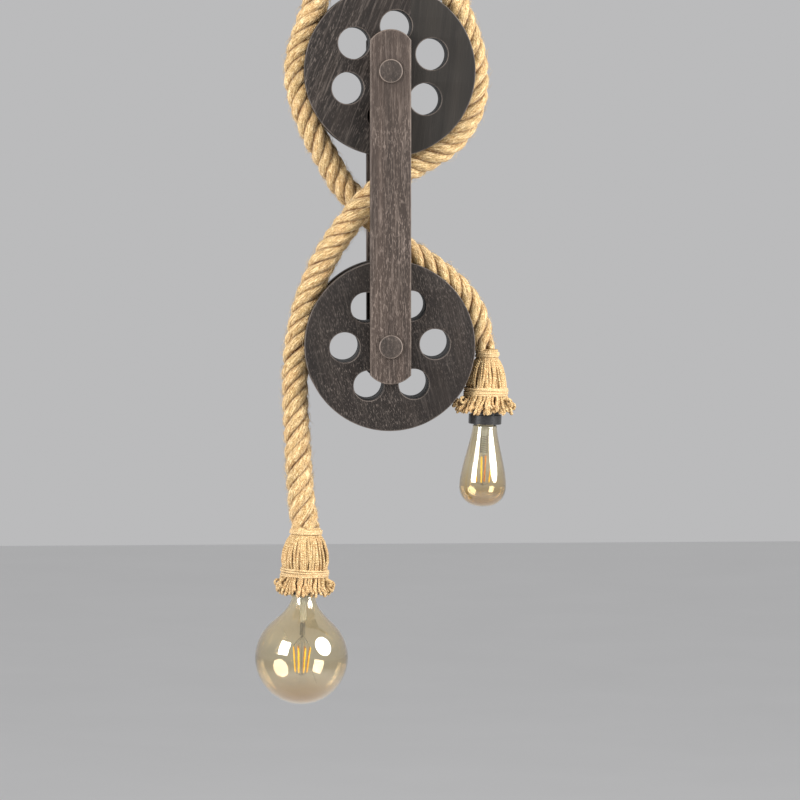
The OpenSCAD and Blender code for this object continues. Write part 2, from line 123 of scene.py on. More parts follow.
class Builder:
    """Gathers tubes and turned surfaces into one mesh."""

    def __init__(self):
        self.verts, self.faces, self.uvs, self.slots = [], [], [], []

    def rings(self, rings, u_at, closed_ends=True, slot=0):
        """Joins rings of points with the same count; u_at gives each ring's place along the piece."""
        first = len(self.verts)
        sides = len(rings[0])
        for ring in rings:
            self.verts.extend(ring)
        for i in range(len(rings) - 1):
            for k in range(sides):
                a = first + i * sides + k
                b = first + i * sides + (k + 1) % sides
                self.faces.append((a, b, b + sides, a + sides))
                v0, v1 = k / sides, (k + 1) / sides
                self.uvs += [(u_at[i], v0), (u_at[i], v1), (u_at[i + 1], v1), (u_at[i + 1], v0)]
                self.slots.append(slot)
        if closed_ends:
            for i, flip in ((0, True), (len(rings) - 1, False)):
                ids = [first + i * sides + k for k in range(sides)]
                self.faces.append(tuple(reversed(ids)) if flip else tuple(ids))
                self.uvs += [(u_at[i], k / sides) for k in range(sides)]
                self.slots.append(slot)

    def tube(self, path, radius, sides=8, slot=0, plies=0, pitch=0.007, turn=0.0):
        """A tube along path; radius is a number or a function of 0 to 1. plies makes it lobed like twisted yarn."""
        points = [Vector(p) for p in path]
        count = len(points)
        lengths = [0.0]
        for a, b in zip(points, points[1:]):
            lengths.append(lengths[-1] + (b - a).length)
        side = None
        rings = []
        for i, p in enumerate(points):
            t = (points[min(i + 1, count - 1)] - points[max(i - 1, 0)]).normalized()
            if side is None:
                side = t.cross(Vector((0, 1, 0)) if abs(t.y) < 0.9 else Vector((1, 0, 0)))
            side = (side - t * side.dot(t)).normalized()
            up = t.cross(side)
            r = radius(i / (count - 1)) if callable(radius) else radius
            ring = []
            for k in range(sides):
                a = 2 * math.pi * k / sides
                lobe = 1 + 0.13 * math.cos(plies * a + turn - 2 * math.pi * plies * lengths[i] / pitch) if plies else 1.0
                ring.append(p + r * lobe * (math.cos(a) * side + math.sin(a) * up))
            rings.append(ring)
        self.rings(rings, [x / 0.01 for x in lengths], slot=slot)

    def turned(self, line, sides=64, slot=0, closed=False):
        """A surface of revolution about the builder's own -Z: line is [(radius, distance down)]."""
        rings = [[
            Vector((r * math.cos(a), r * math.sin(a), -d))
            for a in (-2 * math.pi * k / sides for k in range(sides))] for r, d in line]
        self.rings(rings, [d / 0.01 for _, d in line], closed_ends=closed, slot=slot)

    def place(self, matrix):
        self.verts = [matrix @ Vector(v) for v in self.verts]

    def finish(self, name, materials):
        obj = make_mesh(name, self.verts, self.faces, self.uvs)
        for m in materials:
            obj.data.materials.append(m)
        obj.data.polygons.foreach_set("material_index", self.slots)
        return obj


def smooth_path(points, step):
    """A Catmull-Rom curve through points, with a point about every step metres."""
    points = [Vector(p) for p in points]
    ends = [2 * points[0] - points[1]] + points + [2 * points[-1] - points[-2]]
    fine = []
    for i in range(1, len(ends) - 2):
        a, b, c, d = ends[i - 1:i + 3]
        parts = max(1, round((c - b).length / step))
        for k in range(parts):
            t = k / parts
            fine.append(0.5 * (
                2 * b + (c - a) * t + (2 * a - 5 * b + 4 * c - d) * t ** 2
                + (3 * b - a - 3 * c + d) * t ** 3))
    fine.append(points[-1])
    return fine


def path_length(path):
    return sum((b - a).length for a, b in zip(path, path[1:]))


# ---------------------------------------------------------------- material helpers


class Shader:
    """One Principled material and short calls for the nodes that feed it."""

    def __init__(self, name, **values):
        self.mat = bpy.data.materials.new(name)
        self.mat.use_nodes = True
        self.tree = self.mat.node_tree
        self.bsdf = self.tree.nodes["Principled BSDF"]
        for key, value in values.items():
            self.bsdf.inputs[key.replace("_", " ")].default_value = value

    def node(self, kind, **settings):
        n = self.tree.nodes.new(kind)
        for key, value in settings.items():
            setattr(n, key, value)
        return n

    def join(self, source, target):
        self.tree.links.new(source, target)

    def feed(self, socket, value):
        if hasattr(value, "is_output"):
            self.join(value, socket)
        else:
            socket.default_value = value

    def coords(self, stretch=(1, 1, 1), turn=(0, 0, 0), kind="Object"):
        """Texture coordinates; stretch is how much longer the pattern is along each axis, before turn tilts it."""
        source = self.node("ShaderNodeTexCoord").outputs[kind]
        mapping = self.node("ShaderNodeMapping", vector_type="TEXTURE")
        self.join(source, mapping.inputs["Vector"])
        mapping.inputs["Rotation"].default_value = turn
        mapping.inputs["Scale"].default_value = stretch
        return mapping.outputs["Vector"]

    def noise(self, vector, scale, detail=4.0, rough=0.55, distortion=0.0):
        n = self.node("ShaderNodeTexNoise")
        self.join(vector, n.inputs["Vector"])
        n.inputs["Scale"].default_value = scale
        n.inputs["Detail"].default_value = detail
        n.inputs["Roughness"].default_value = rough
        n.inputs["Distortion"].default_value = distortion
        return n.outputs["Fac"]

    def ramp(self, value, stops):
        """stops is [(place, grey or colour)]."""
        n = self.node("ShaderNodeValToRGB")
        self.join(value, n.inputs["Fac"])
        elements = n.color_ramp.elements
        while len(elements) < len(stops):
            elements.new(0.5)
        for element, (place, colour) in zip(elements, stops):
            element.position = place
            element.color = (colour,) * 3 + (1,) if isinstance(colour, (int, float)) else (*colour, 1)
        return n.outputs["Color"]

    def mix(self, factor, a, b, kind="MIX"):
        n = self.node("ShaderNodeMix", data_type="RGBA", blend_type=kind)
        self.feed(n.inputs[0], factor)
        self.feed(n.inputs[6], a if hasattr(a, "is_output") else (*a, 1))
        self.feed(n.inputs[7], b if hasattr(b, "is_output") else (*b, 1))
        return n.outputs[2]

    def maths(self, kind, a, b=0.5):
        n = self.node("ShaderNodeMath", operation=kind)
        self.feed(n.inputs[0], a)
        self.feed(n.inputs[1], b)
        return n.outputs[0]

    def attribute(self, name):
        return self.node("ShaderNodeAttribute", attribute_name=name).outputs["Fac"]

    def bump(self, height, strength, distance, after=None):
        n = self.node("ShaderNodeBump")
        n.inputs["Strength"].default_value = strength
        n.inputs["Distance"].default_value = distance
        self.join(height, n.inputs["Height"])
        if after is not None:
            self.join(after, n.inputs["Normal"])
        return n.outputs["Normal"]

    def surface(self, colour=None, roughness=None, normal=None):
        for name, value in (("Base Color", colour), ("Roughness", roughness), ("Normal", normal)):
            if value is not None:
                self.join(value, self.bsdf.inputs[name])
        return self.mat


def dark_wood(name, base, light, grain_tilt=0.0, fleck=0.5, fleck_size=1.0, fleck_at=0.6, worn_and_highlight=0.6,
    streak=0.5, long=20.0):
    """Stained open-grain wood. The grain runs along Z, tilted in the XZ plane by grain_tilt degrees;
    fleck is how strongly the light pores show, and worn how pale the arrises are painted: partly wear, partly
    painted highlight on the rounded edges."""
    s = Shader(name, Specular_IOR_Level=0.2)
    tilt = (0, math.radians(grain_tilt), 0)
    along = s.coords(stretch=(1, 1, long), turn=tilt)
    short = s.coords(stretch=(1, 1, 6), turn=tilt)
    broad = s.noise(along, 48, detail=5, distortion=0.4)
    fine = s.noise(along, 460, detail=3, rough=0.65)
    pores = s.noise(short, 330 / fleck_size, detail=2, rough=0.6)
    patch = s.noise(s.coords(), 11, detail=3)
    tone = s.ramp(broad, [(0.3, tuple(c * 0.6 for c in base)), (0.5, base),
        (0.72, tuple(c * 1.5 for c in base))])
    tone = s.mix(s.maths("MULTIPLY", s.ramp(fine, [(0.52, 0.0), (0.72, 1.0)]), streak), tone, light)
    tone = s.mix(s.maths("MULTIPLY", s.ramp(fine, [(0.28, 1.0), (0.45, 0.0)]), streak), tone,
        tuple(c * 0.35 for c in base))
    spots = s.ramp(pores, [(fleck_at, 0.0), (fleck_at + 0.06, 1.0)])
    where = s.ramp(patch, [(0.36, 0.15), (0.6, 1.0)])
    spots = s.maths("MULTIPLY", s.maths("MULTIPLY", spots, where), fleck)
    tone = s.mix(spots, tone, light)
    # Painted highlight and wear: the arrises marked by the arris attribute are painted paler, broken up by noise.
    # This is partly wear and partly the highlight a rounded edge catches.
    scuff = s.ramp(s.noise(s.coords(), 60, detail=3), [(0.35, 0.3), (0.6, 1.0)])
    rubbed_and_highlight = s.maths("MULTIPLY", s.maths("MULTIPLY", s.attribute("arris"), worn_and_highlight), scuff)
    tone = s.mix(rubbed_and_highlight, tone, light)
    rough = s.ramp(broad, [(0.3, 0.62), (0.7, 0.45)])
    height = s.maths("ADD", s.maths("MULTIPLY", fine, 0.5), s.maths("MULTIPLY", pores, 0.5))
    return s.surface(tone, rough, s.bump(height, 0.4, 0.0007))


def hairy(s, tone, light, size=900):
    """Broken fibre ends: fine dark specks, pale specks that are partly paler fibre and partly painted glint, and
    slow drifts of colour.
    """
    speck = s.noise(s.coords(), size, detail=2, rough=0.7)
    drift = s.noise(s.coords(), 45, detail=3)
    tone = s.mix(s.ramp(drift, [(0.35, 0.35), (0.5, 0.0)]), tone,
        tuple(c * k for c, k in zip(light, (0.80, 0.84, 0.78))))
    tone = s.mix(s.ramp(drift, [(0.52, 0.0), (0.68, 0.35)]), tone,
        tuple(c * k for c, k in zip(light, (0.98, 0.82, 0.72))))
    tone = s.mix(s.ramp(speck, [(0.34, 0.85), (0.48, 0.0)]), tone,
        tuple(c * k for c, k in zip(light, (0.42, 0.33, 0.24))))
    # Pale specks: partly paler fibre, partly painted glints on the fibres.
    return speck, s.mix(s.ramp(speck, [(0.54, 0.0), (0.66, 0.95)]), tone, JUTE_PALE_AND_GLINT)


def laid_rope(name, groove, mid, light):
    """Jute strands. UV runs along a strand in centimetres and round it, with 0.5 on the side that shows."""
    s = Shader(name, Roughness=0.9, Specular_IOR_Level=0.12, Sheen_Weight=0.15, Sheen_Roughness=0.5)
    uv = s.coords(kind="UV")
    split = s.node("ShaderNodeSeparateXYZ")
    s.join(uv, split.inputs[0])
    crest = s.maths("COSINE", s.maths("MULTIPLY", s.maths("SUBTRACT", split.outputs[1], 0.5), 2 * math.pi))
    slant = (0, 0, math.radians(-7))
    fibre = s.noise(s.coords(stretch=(3.2, 0.17, 1), turn=slant, kind="UV"), 4.2, detail=5, rough=0.7)
    broken = s.noise(s.coords(stretch=(1.3, 0.12, 1), turn=slant, kind="UV"), 4.2, detail=4, rough=0.7)
    blotch = s.noise(s.coords(), 80, detail=3)
    tone = s.ramp(blotch, [(0.35, mid), (0.65, light)])
    tone = s.mix(s.ramp(fibre, [(0.37, 1.0), (0.51, 0.0)]), tone, groove)
    # Pale fibre streaks: partly paler fibre, partly painted glints.
    tone = s.mix(s.ramp(fibre, [(0.51, 0.0), (0.61, 1.0)]), tone, JUTE_PALE_AND_GLINT)
    speck, tone = hairy(s, tone, light)
    # Painted shade: each strand darkens towards the groove colour on the sides that turn in towards the next
    # strand, where the grooves between strands lie in shade.
    edge = s.maths("ADD", crest, s.maths("MULTIPLY", s.maths("SUBTRACT", broken, 0.5), 1.5))
    tone = s.mix(s.ramp(edge, [(0.06, 1.0), (0.40, 0.42), (0.70, 0.0)]), tone, groove)
    height = s.maths("ADD", s.maths("ADD", fibre, broken), speck)
    return s.surface(tone, None, s.bump(height, 0.8, 0.0016))


def yarn(name, dark, mid, light, stripes=2.0, slant=3.2, twist_shade_depth=0.5):
    """Spun jute yarn. UV runs along it in centimetres and round it; dark stripes wind round it, painted shade in
    the grooves of the twist.
    """
    s = Shader(name, Roughness=0.9, Specular_IOR_Level=0.15, Sheen_Weight=0.15, Sheen_Roughness=0.5)
    uv = s.coords(kind="UV")
    split = s.node("ShaderNodeSeparateXYZ")
    s.join(uv, split.inputs[0])
    wobble = s.maths("MULTIPLY", s.noise(s.coords(), 300, detail=3), 1.1)
    phase = s.maths("ADD", s.maths("MULTIPLY", split.outputs[1], stripes),
        s.maths("MULTIPLY", split.outputs[0], slant))
    wave = s.maths("SINE", s.maths("MULTIPLY", s.maths("ADD", phase, wobble), 2 * math.pi))
    wave = s.maths("MULTIPLY", s.maths("ADD", wave, 1.0), 0.5)
    blotch = s.noise(s.coords(), 130, detail=3)
    tone = s.ramp(blotch, [(0.35, mid), (0.65, light)])
    # Painted shade: the stripes darken towards the dark colour where the grooves between the plies lie in shade.
    tone = s.mix(s.maths("MULTIPLY", s.ramp(wave, [(0.0, 1.0), (0.5, 0.0)]), twist_shade_depth), tone, dark)
    speck, tone = hairy(s, tone, light)
    height = s.maths("ADD", wave, s.maths("MULTIPLY", speck, 0.8))
    return s.surface(tone, None, s.bump(height, 0.7, 0.0008))


def shade(name, colour):
    """The dark inside of a tassel, seen only in the gaps between yarns: a painted shade sheet standing in for the
    shadow deep among the yarns.
    """
    s = Shader(name, Roughness=0.95, Specular_IOR_Level=0.05)
    grain = s.noise(s.coords(), 500, detail=3)
    return s.surface(s.ramp(grain, [(0.3, tuple(c * 0.5 for c in colour)), (0.7, colour)]), None,
        s.bump(grain, 0.5, 0.001))


# JUTE_DARK_AND_GROOVE_SHADE: the colour of the rope's dark fibre streaks, and also of the painted shade in its
# grooves.
JUTE_DARK_AND_GROOVE_SHADE = (0.20, 0.092, 0.027)
JUTE_MID = (0.50, 0.30, 0.115)
JUTE_LIGHT = (0.68, 0.45, 0.20)
# The pale speck and streak colour of jute: partly paler fibre, partly painted glint.
JUTE_PALE_AND_GLINT = (0.98, 0.78, 0.45)
BAR_LIGHT = (0.235, 0.185, 0.155)
DISC_LIGHT = (0.155, 0.126, 0.108)

M_ROPE = laid_rope("jute_rope", JUTE_DARK_AND_GROOVE_SHADE, JUTE_MID, JUTE_LIGHT)
M_YARN = yarn("jute_yarn", (0.18, 0.086, 0.028), (0.47, 0.29, 0.12), (0.66, 0.45, 0.215), twist_shade_depth=0.75)
M_TWINE = yarn("jute_twine", (0.24, 0.13, 0.048), (0.54, 0.355, 0.165), (0.72, 0.51, 0.27), slant=3.6,
    twist_shade_depth=0.45)
M_FIBRE = yarn("jute_fibre", (0.55, 0.40, 0.22), (0.74, 0.56, 0.33), (0.88, 0.70, 0.44), twist_shade_depth=0.1)
M_PAINTED_SHADE = shade("jute_shadow", (0.13, 0.068, 0.027))
M_BAR = dark_wood(
    "bar_wood", (0.0405, 0.0295, 0.024), BAR_LIGHT, 0, fleck=0.5, fleck_size=0.36, fleck_at=0.56,
        worn_and_highlight=0.5, streak=0.36)
M_DISC_LEFT = dark_wood(
    "wheel_wood_grained", (0.0145, 0.0112, 0.0094), DISC_LIGHT, 22, fleck=0.5, fleck_size=0.42,
        fleck_at=0.58, worn_and_highlight=0.7, streak=0.4)
M_DISC_RIGHT = dark_wood(
    "wheel_wood_smooth", (0.0172, 0.0148, 0.0126), DISC_LIGHT, 6, fleck=0.05, fleck_size=0.6,
        fleck_at=0.68, worn_and_highlight=0.7, streak=0.06)
M_DISC_LOWER = dark_wood(
    "wheel_wood_flecked", (0.0145, 0.0112, 0.0095), DISC_LIGHT, -14, fleck=0.6, fleck_size=0.33,
        fleck_at=0.57, worn_and_highlight=0.65, streak=0.2)
M_CORE = dark_wood("core_wood", (0.012, 0.0093, 0.008), (0.05, 0.038, 0.032), 0, fleck=0.2, worn_and_highlight=0.2,
    streak=0.2)
M_AXLE = dark_wood(
    "axle_wood", (0.037, 0.029, 0.0245), BAR_LIGHT, 0, fleck=0.15, fleck_size=0.5, fleck_at=0.62,
        worn_and_highlight=0.8, streak=0.25, long=2.0)

# ---------------------------------------------------------------- ropes

ROPE_R = 18 * MM
STRANDS = 4
STRAND_R = ROPE_R / (1 + math.sqrt(2))
STRAND_OUT = ROPE_R - STRAND_R
LAY = 86 * MM

# The rope's route in millimetres from the upper axle, as in the CAD
LEFT_ROUTE = [
    (-6, 0, 206), (26, 0, 199), (51, 0, 177), (69, 0, 146), (85, 0, 107), (100, 0, 69),
    (113, 0, 31), (118, 0, -4), (116, 0, -38), (106, 0, -66), (86, 0, -94), (61, 0, -112),
    (35, -1, -127), (11, -8, -141), (-25, -18.5, -170), (-49, -18.5, -197), (-72, -12, -229),
    (-91, -4, -262), (-108, 0, -303), (-118, 0, -338), (-124, 0, -371), (-127, 0, -407),
    (-127, 0, -447), (-125, 0, -485), (-123, 0, -520), (-121, 0, -555), (-118, 0, -588),
    (-113, 0, -621)]
RIGHT_ROUTE = [
    (-6, 0, 206), (-38, 0, 199), (-62, 0, 179), (-77, 0, 150), (-88, 0, 121), (-99, 0, 90),
    (-110, 0, 59), (-120, 0, 27), (-124, 0, -4), (-119, 0, -35), (-109, 0, -66), (-97, 1, -93),
    (-82, 11, -120), (-64, 18.5, -151), (-44, 18.5, -174), (-24, 18.5, -195), (-2, 11, -218),
    (21, 3, -240), (47, 0, -257), (74, 0, -277), (96, 0, -297), (113, 0, -320), (124, 0, -346),
    (128, 0, -366), (131, 0, -374), (134, 0, -380)]


def from_axle(points):
    return [UPPER + MM * Vector(p) for p in points]


def rope_frame(path, i):
    """Tangent and two cross vectors of the rope's line at point i."""
    t = (path[min(i + 1, len(path) - 1)] - path[max(i - 1, 0)]).normalized()
    n = t.cross(Vector((0, 1, 0))).normalized()
    return t, n, t.cross(n)


def lay_rope(path, swell, sides=20):
    """Four strands laid round the path; swell(distance along) is how much the rope has opened there."""
    build = Builder()
    lengths = [0.0]
    for a, b in zip(path, path[1:]):
        lengths.append(lengths[-1] + (b - a).length)
    for s in range(STRANDS):
        lines = []
        for i, p in enumerate(path):
            t, n, b = rope_frame(path, i)
            open_by = swell(lengths[i])
            wander = 0.22 * noise.noise(Vector((7 * s, 0, lengths[i] / 0.07)))
            angle = math.pi / 4 + 2 * math.pi * (s / STRANDS + lengths[i] / LAY) + wander
            out = math.cos(angle) * n + math.sin(angle) * b
            lines.append((p + STRAND_OUT * open_by * out, out, open_by))
        rings = []
        for i, (p, out, open_by) in enumerate(lines):
            t = (lines[min(i + 1, len(lines) - 1)][0] - lines[max(i - 1, 0)][0]).normalized()
            o = (out - t * out.dot(t)).normalized()
            w = t.cross(o)
            ring = []
            for k in range(sides):
                a = math.pi + 2 * math.pi * k / sides
                d = math.cos(a) * o + 1.02 * math.sin(a) * w
                lump = 1 + 0.09 * noise.noise((p + STRAND_R * d) / 0.006) + 0.05 * noise.noise((p + STRAND_R * d) / 0.016)
                ring.append(p + STRAND_R * open_by * lump * d)
            rings.append(ring)
        build.rings(rings, [x / 0.01 for x in lengths])
    return build


def groove(wheel, axle):
    """A wheel's axle, the reach of its flanges, and how far forward and back a hair may stand."""
    low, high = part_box(wheel + "_core")
    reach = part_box(wheel + "_rear_flange")[1].x - axle.x + 4 * MM
    return axle, reach, low.y + 0.6 * MM, high.y - 0.6 * MM


GROOVES = [groove("upper", UPPER), groove("lower", LOWER)]


def in_groove(point):
    """Keeps a point between the flanges where the rope lies in a wheel's groove."""
    for axle, reach, front, back in GROOVES:
        if math.hypot(point.x - axle.x, point.z - axle.z) < reach:
            point.y = min(max(point.y, front), back)
    return point


def fibres(path, swell, count, seed, longest):
    """Loose fibres that stand off the rope: thin three-sided hairs, bent along it."""
    rng = random.Random(seed)
    build = Builder()
    lengths = [0.0]
    for a, b in zip(path, path[1:]):
        lengths.append(lengths[-1] + (b - a).length)
    for _ in range(count):
        i = rng.randrange(3, len(path) - 3)
        t, n, b = rope_frame(path, i)
        angle = rng.uniform(0, 2 * math.pi)
        out = math.cos(angle) * n + math.sin(angle) * b
        along = t * rng.choice((-1, 1))
        side = t.cross(out) * rng.uniform(-1, 1)
        reach = (0.25 + 0.75 * rng.random() ** 3) * longest
        lift = rng.uniform(0.25, 0.7)
        p = path[i] + out * (ROPE_R * swell(lengths[i]) - 0.9 * MM)
        line = [in_groove(p.copy())]
        for k in range(1, 4):
            f = k / 3
            line.append(in_groove(p + reach * (out * lift * f + (along + 0.6 * side) * f * (0.4 + 0.5 * f))))
        build.tube(line, lambda f: 0.26 * MM * (1 - 0.6 * f), sides=3)
    return build


def make_rope(side, route, seed, opened):
    path = smooth_path(from_axle(route), 2.5 * MM)
    whole = path_length(path)
    reach = 0.16 if opened > 0 else 0.07

    def swell(x):
        return 1 + opened * max(0.0, 1 - (whole - x) / reach) ** 1.5

    rope = lay_rope(path, swell).finish(side + "_rope", [M_ROPE])
    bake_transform(rope)
    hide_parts(side + "_rope_run", side + "_rope_tail")
    hairs = fibres(path, swell, round(whole / (0.18 * MM)), seed, 11 * MM).finish(side + "_rope_fibres",
        [M_FIBRE])
    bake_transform(hairs)


make_rope("left", LEFT_ROUTE, 11, 0.1)
make_rope("right", RIGHT_ROUTE, 12, -0.24)

# ---------------------------------------------------------------- wood

EASE = 1.4 * MM
CIRCLE_POINTS = 120


def circle(x, z, r, count=CIRCLE_POINTS):
    return [(x + r * math.cos(2 * math.pi * k / count), z + r * math.sin(2 * math.pi * k / count))
        for k in range(count)]


def plate(name, outlines, y0, y1, ease=EASE):
    """A flat board between y0 and y1 with rounded arrises; outlines are in X and Z, the outer one first."""
    data = bpy.data.curves.new(name, "CURVE")
    data.dimensions = "2D"
    data.fill_mode = "BOTH"
    data.extrude = (y1 - y0) / 2 - ease
    data.bevel_depth = ease
    data.bevel_resolution = 3
    data.offset = -ease
    for points in outlines:
        spline = data.splines.new("POLY")
        spline.points.add(len(points) - 1)
        for point, (x, z) in zip(spline.points, points):
            point.co = (x, z, 0, 1)
        spline.use_cyclic_u = True
    source = bpy.data.objects.new(name + "_outline", data)
    bpy.context.collection.objects.link(source)
    mesh = bpy.data.meshes.new_from_object(source.evaluated_get(bpy.context.evaluated_depsgraph_get()))
    bpy.data.objects.remove(source)
    work = bmesh.new()
    work.from_mesh(mesh)
    bmesh.ops.remove_doubles(work, verts=work.verts, dist=1e-6)
    work.to_mesh(mesh)
    work.free()
    mesh.transform(Matrix.Translation((0, (y0 + y1) / 2, 0)) @ Matrix.Rotation(math.pi / 2, 4, "X"))
    mesh.name = name
    half = (y1 - y0) / 2
    mid = (y0 + y1) / 2
    # arris marks the rounded edges, which the wood shader paints paler: partly wear, partly painted highlight.
    arris = mesh.attributes.new("arris", "FLOAT", "POINT")
    arris.data.foreach_set("value", [
        1.0 if half - 0.95 * ease < abs(v.co.y - mid) < half - 0.02 * ease else 0.0 for v in mesh.vertices])
    mesh.polygons.foreach_set("use_smooth", [True] * len(mesh.polygons))
    mesh.set_sharp_from_angle(angle=math.radians(35))
    obj = bpy.data.objects.new(name, mesh)
    bpy.context.collection.objects.link(obj)
    return obj


def wood_piece(obj, body, node, material):
    obj.data.materials.clear()
    obj.data.materials.append(material)
    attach(obj, body)
    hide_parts(node)
    return obj


def span_y(node):
    low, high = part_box(node)
    return low.y, high.y


BAR_TOP_ARC = 33 * MM
BAR_FOOT_ARC = 37 * MM


def bar_line(node):
    """Outline of a bar: straight sides and a shallow arc at each end."""
    low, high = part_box(node)
    mid, half = (low.x + high.x) / 2, (high.x - low.x) / 2
    line = []
    for centre, r, sign in ((high.z - BAR_TOP_ARC, BAR_TOP_ARC, 1), (low.z + BAR_FOOT_ARC, BAR_FOOT_ARC, -1)):
        reach = math.asin(half / r)
        for k in range(25):
            a = (1 - 2 * k / 24) * reach
            line.append((mid + sign * r * math.sin(a), centre + sign * r * math.cos(a)))
    return line


for node in ("front_bar", "rear_bar"):
    wood_piece(plate(node + "_board", [bar_line(node)], *span_y(node), ease=1.6 * MM), "block", node,
        M_BAR)

HOLE_CIRCLE = 61 * MM
BORE_R = 16.06 * MM
SEAM_X = 28 * MM
WHEELS = {
    "upper": {"axle": UPPER, "hole": 21.5 * MM, "turn": 8},
    "lower": {"axle": LOWER, "hole": 20.5 * MM, "turn": 28}}


def wheel_holes(wheel):
    """The six hole centres of a wheel in X and Z, clockwise from the front."""
    for k in range(6):
        a = math.radians(wheel["turn"] + 60 * k)
        yield wheel["axle"].x + HOLE_CIRCLE * math.sin(a), wheel["axle"].z + HOLE_CIRCLE * math.cos(a)


def wheel_disc(which, node, name, material, ease=EASE):
    wheel = WHEELS[which]
    axle = wheel["axle"]
    low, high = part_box(node)
    outlines = [circle(axle.x, axle.z, (high.x - low.x) / 2, 240), circle(axle.x, axle.z, BORE_R, 64)]
    outlines += [circle(x, z, wheel["hole"], 96) for x, z in wheel_holes(wheel)]
    return wood_piece(plate(name, outlines, low.y, high.y, ease), which + "_wheel", node, material)


def cut_at_seam(obj, keep_right):
    """Leaves the part of a board on one side of the glued seam, closed with a flat face."""
    work = bmesh.new()
    work.from_mesh(obj.data)
    geometry = work.verts[:] + work.edges[:] + work.faces[:]
    cut = bmesh.ops.bisect_plane(
        work, geom=geometry, plane_co=(UPPER.x + SEAM_X, 0, 0), plane_no=(-1 if keep_right else 1, 0, 0),
        clear_outer=True)
    edges = [e for e in cut["geom_cut"] if isinstance(e, bmesh.types.BMEdge)]
    bmesh.ops.holes_fill(work, edges=edges, sides=0)
    work.to_mesh(obj.data)
    work.free()
    obj.data.set_sharp_from_angle(angle=math.radians(35))


def upper_front():
    """Two boards glued edge to edge."""
    wheel = WHEELS["upper"]
    y0, y1 = span_y("upper_front_board_left")
    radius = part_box("upper_rear_flange")[1].x - UPPER.x
    outlines = [circle(UPPER.x, UPPER.z, radius, 240), circle(UPPER.x, UPPER.z, BORE_R, 64)]
    outlines += [circle(x, z, wheel["hole"], 96) for x, z in wheel_holes(wheel)]
    for end, material, slot in (("left", M_DISC_LEFT, "wheel_wood"),
        ("right", M_DISC_RIGHT, "wheel_wood_smooth")):
        node = "upper_front_board_" + end
        board = plate(node + "_disc", outlines, y0, y1)
        cut_at_seam(board, end == "right")
        wood_piece(board, "upper_wheel", node, material)


upper_front()
wheel_disc("upper", "upper_rear_flange", "upper_rear_disc", M_DISC_RIGHT)
wheel_disc("upper", "upper_core", "upper_core_disc", M_CORE, 0.3 * MM)
wheel_disc("lower", "lower_front_flange", "lower_front_disc", M_DISC_LOWER)
wheel_disc("lower", "lower_rear_flange", "lower_rear_disc", M_DISC_LOWER)
wheel_disc("lower", "lower_core", "lower_core_disc", M_CORE, 0.3 * MM)


def dowel(node):
    """A dowel with rounded ends."""
    low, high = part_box(node)
    r, half, ease = (high.x - low.x) / 2, (high.y - low.y) / 2, 2.2 * MM
    line = [(0.0005, -half)]
    line += [(r - ease + ease * math.sin(a), -half + ease - ease * math.cos(a))
        for a in (math.radians(15 * k) for k in range(7))]
    line += [(x, -d) for x, d in reversed(line)]
    build = Builder()
    build.turned(line, sides=72, closed=True)
    build.place(Matrix.Translation(middle(node)) @ Matrix.Rotation(math.pi / 2, 4, "X"))
    obj = build.finish(node + "_dowel", [M_AXLE])
    # arris marks the rounded end edges, which the wood shader paints paler: partly wear, partly painted highlight.
    arris = obj.data.attributes.new("arris", "FLOAT", "POINT")
    mid = middle(node).y
    arris.data.foreach_set("value", [
        1.0 if half - 0.9 * ease < abs(v.co.y - mid) < half - 0.05 * ease else 0.0
            for v in obj.data.vertices])
    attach(obj, "block")
    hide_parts(node)


dowel("upper_axle")
dowel("lower_axle")

# ---------------------------------------------------------------- tassels

LAMPS = {
    "left": {
        "lean": 2.2, "top": UPPER + MM * Vector((-112, 0, -619)), "drop": 64, "seed": 21,
        "line": [(18, 0), (20, 2), (20, 9), (26.5, 19), (31, 33), (32.3, 46), (31, 55.5), (31, 67)],
        "top_band": (2, 9, 20.4), "low_band": (55.5, 67, 31.3), "fringe": (67, 93, 40), "sway": 0,
        "yarns": 56, "turns": (3, 4), "parting": (-0.52, 0.14), "folds": 0.03},
    "right": {
        "lean": 2.0, "top": UPPER + MM * Vector((135, 0, -377)), "drop": 75, "seed": 22,
        "line": [(14, 0), (14, 11), (18.5, 17), (22.8, 25), (25.4, 34), (27.5, 45), (28, 51), (28, 63)],
        "top_band": (2, 11, 14.4), "low_band": (51, 63, 28.3), "fringe": (63, 88, 41), "sway": -3.5,
        "yarns": 48, "turns": (4, 5), "parting": (-1.9, 0.08), "folds": 0.09}}
YARN_R = 1.75 * MM
TWINE_R = 1.4 * MM


def lamp_matrix(lamp):
    return Matrix.Translation(lamp["top"]) @ Matrix.Rotation(math.radians(lamp["lean"]), 4, "Y")


def radius_at(line, d):
    """Radius of an outline at distance d, straight between its points."""
    for (r0, d0), (r1, d1) in zip(line, line[1:]):
        if d <= d1:
            return r0 + (r1 - r0) * max(0.0, d - d0) / max(1e-9, d1 - d0)
    return line[-1][0]


def ride_lamp(obj, side, nodes):
    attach(obj, side + "_lamp")
    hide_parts(*[side + "_" + n for n in nodes])


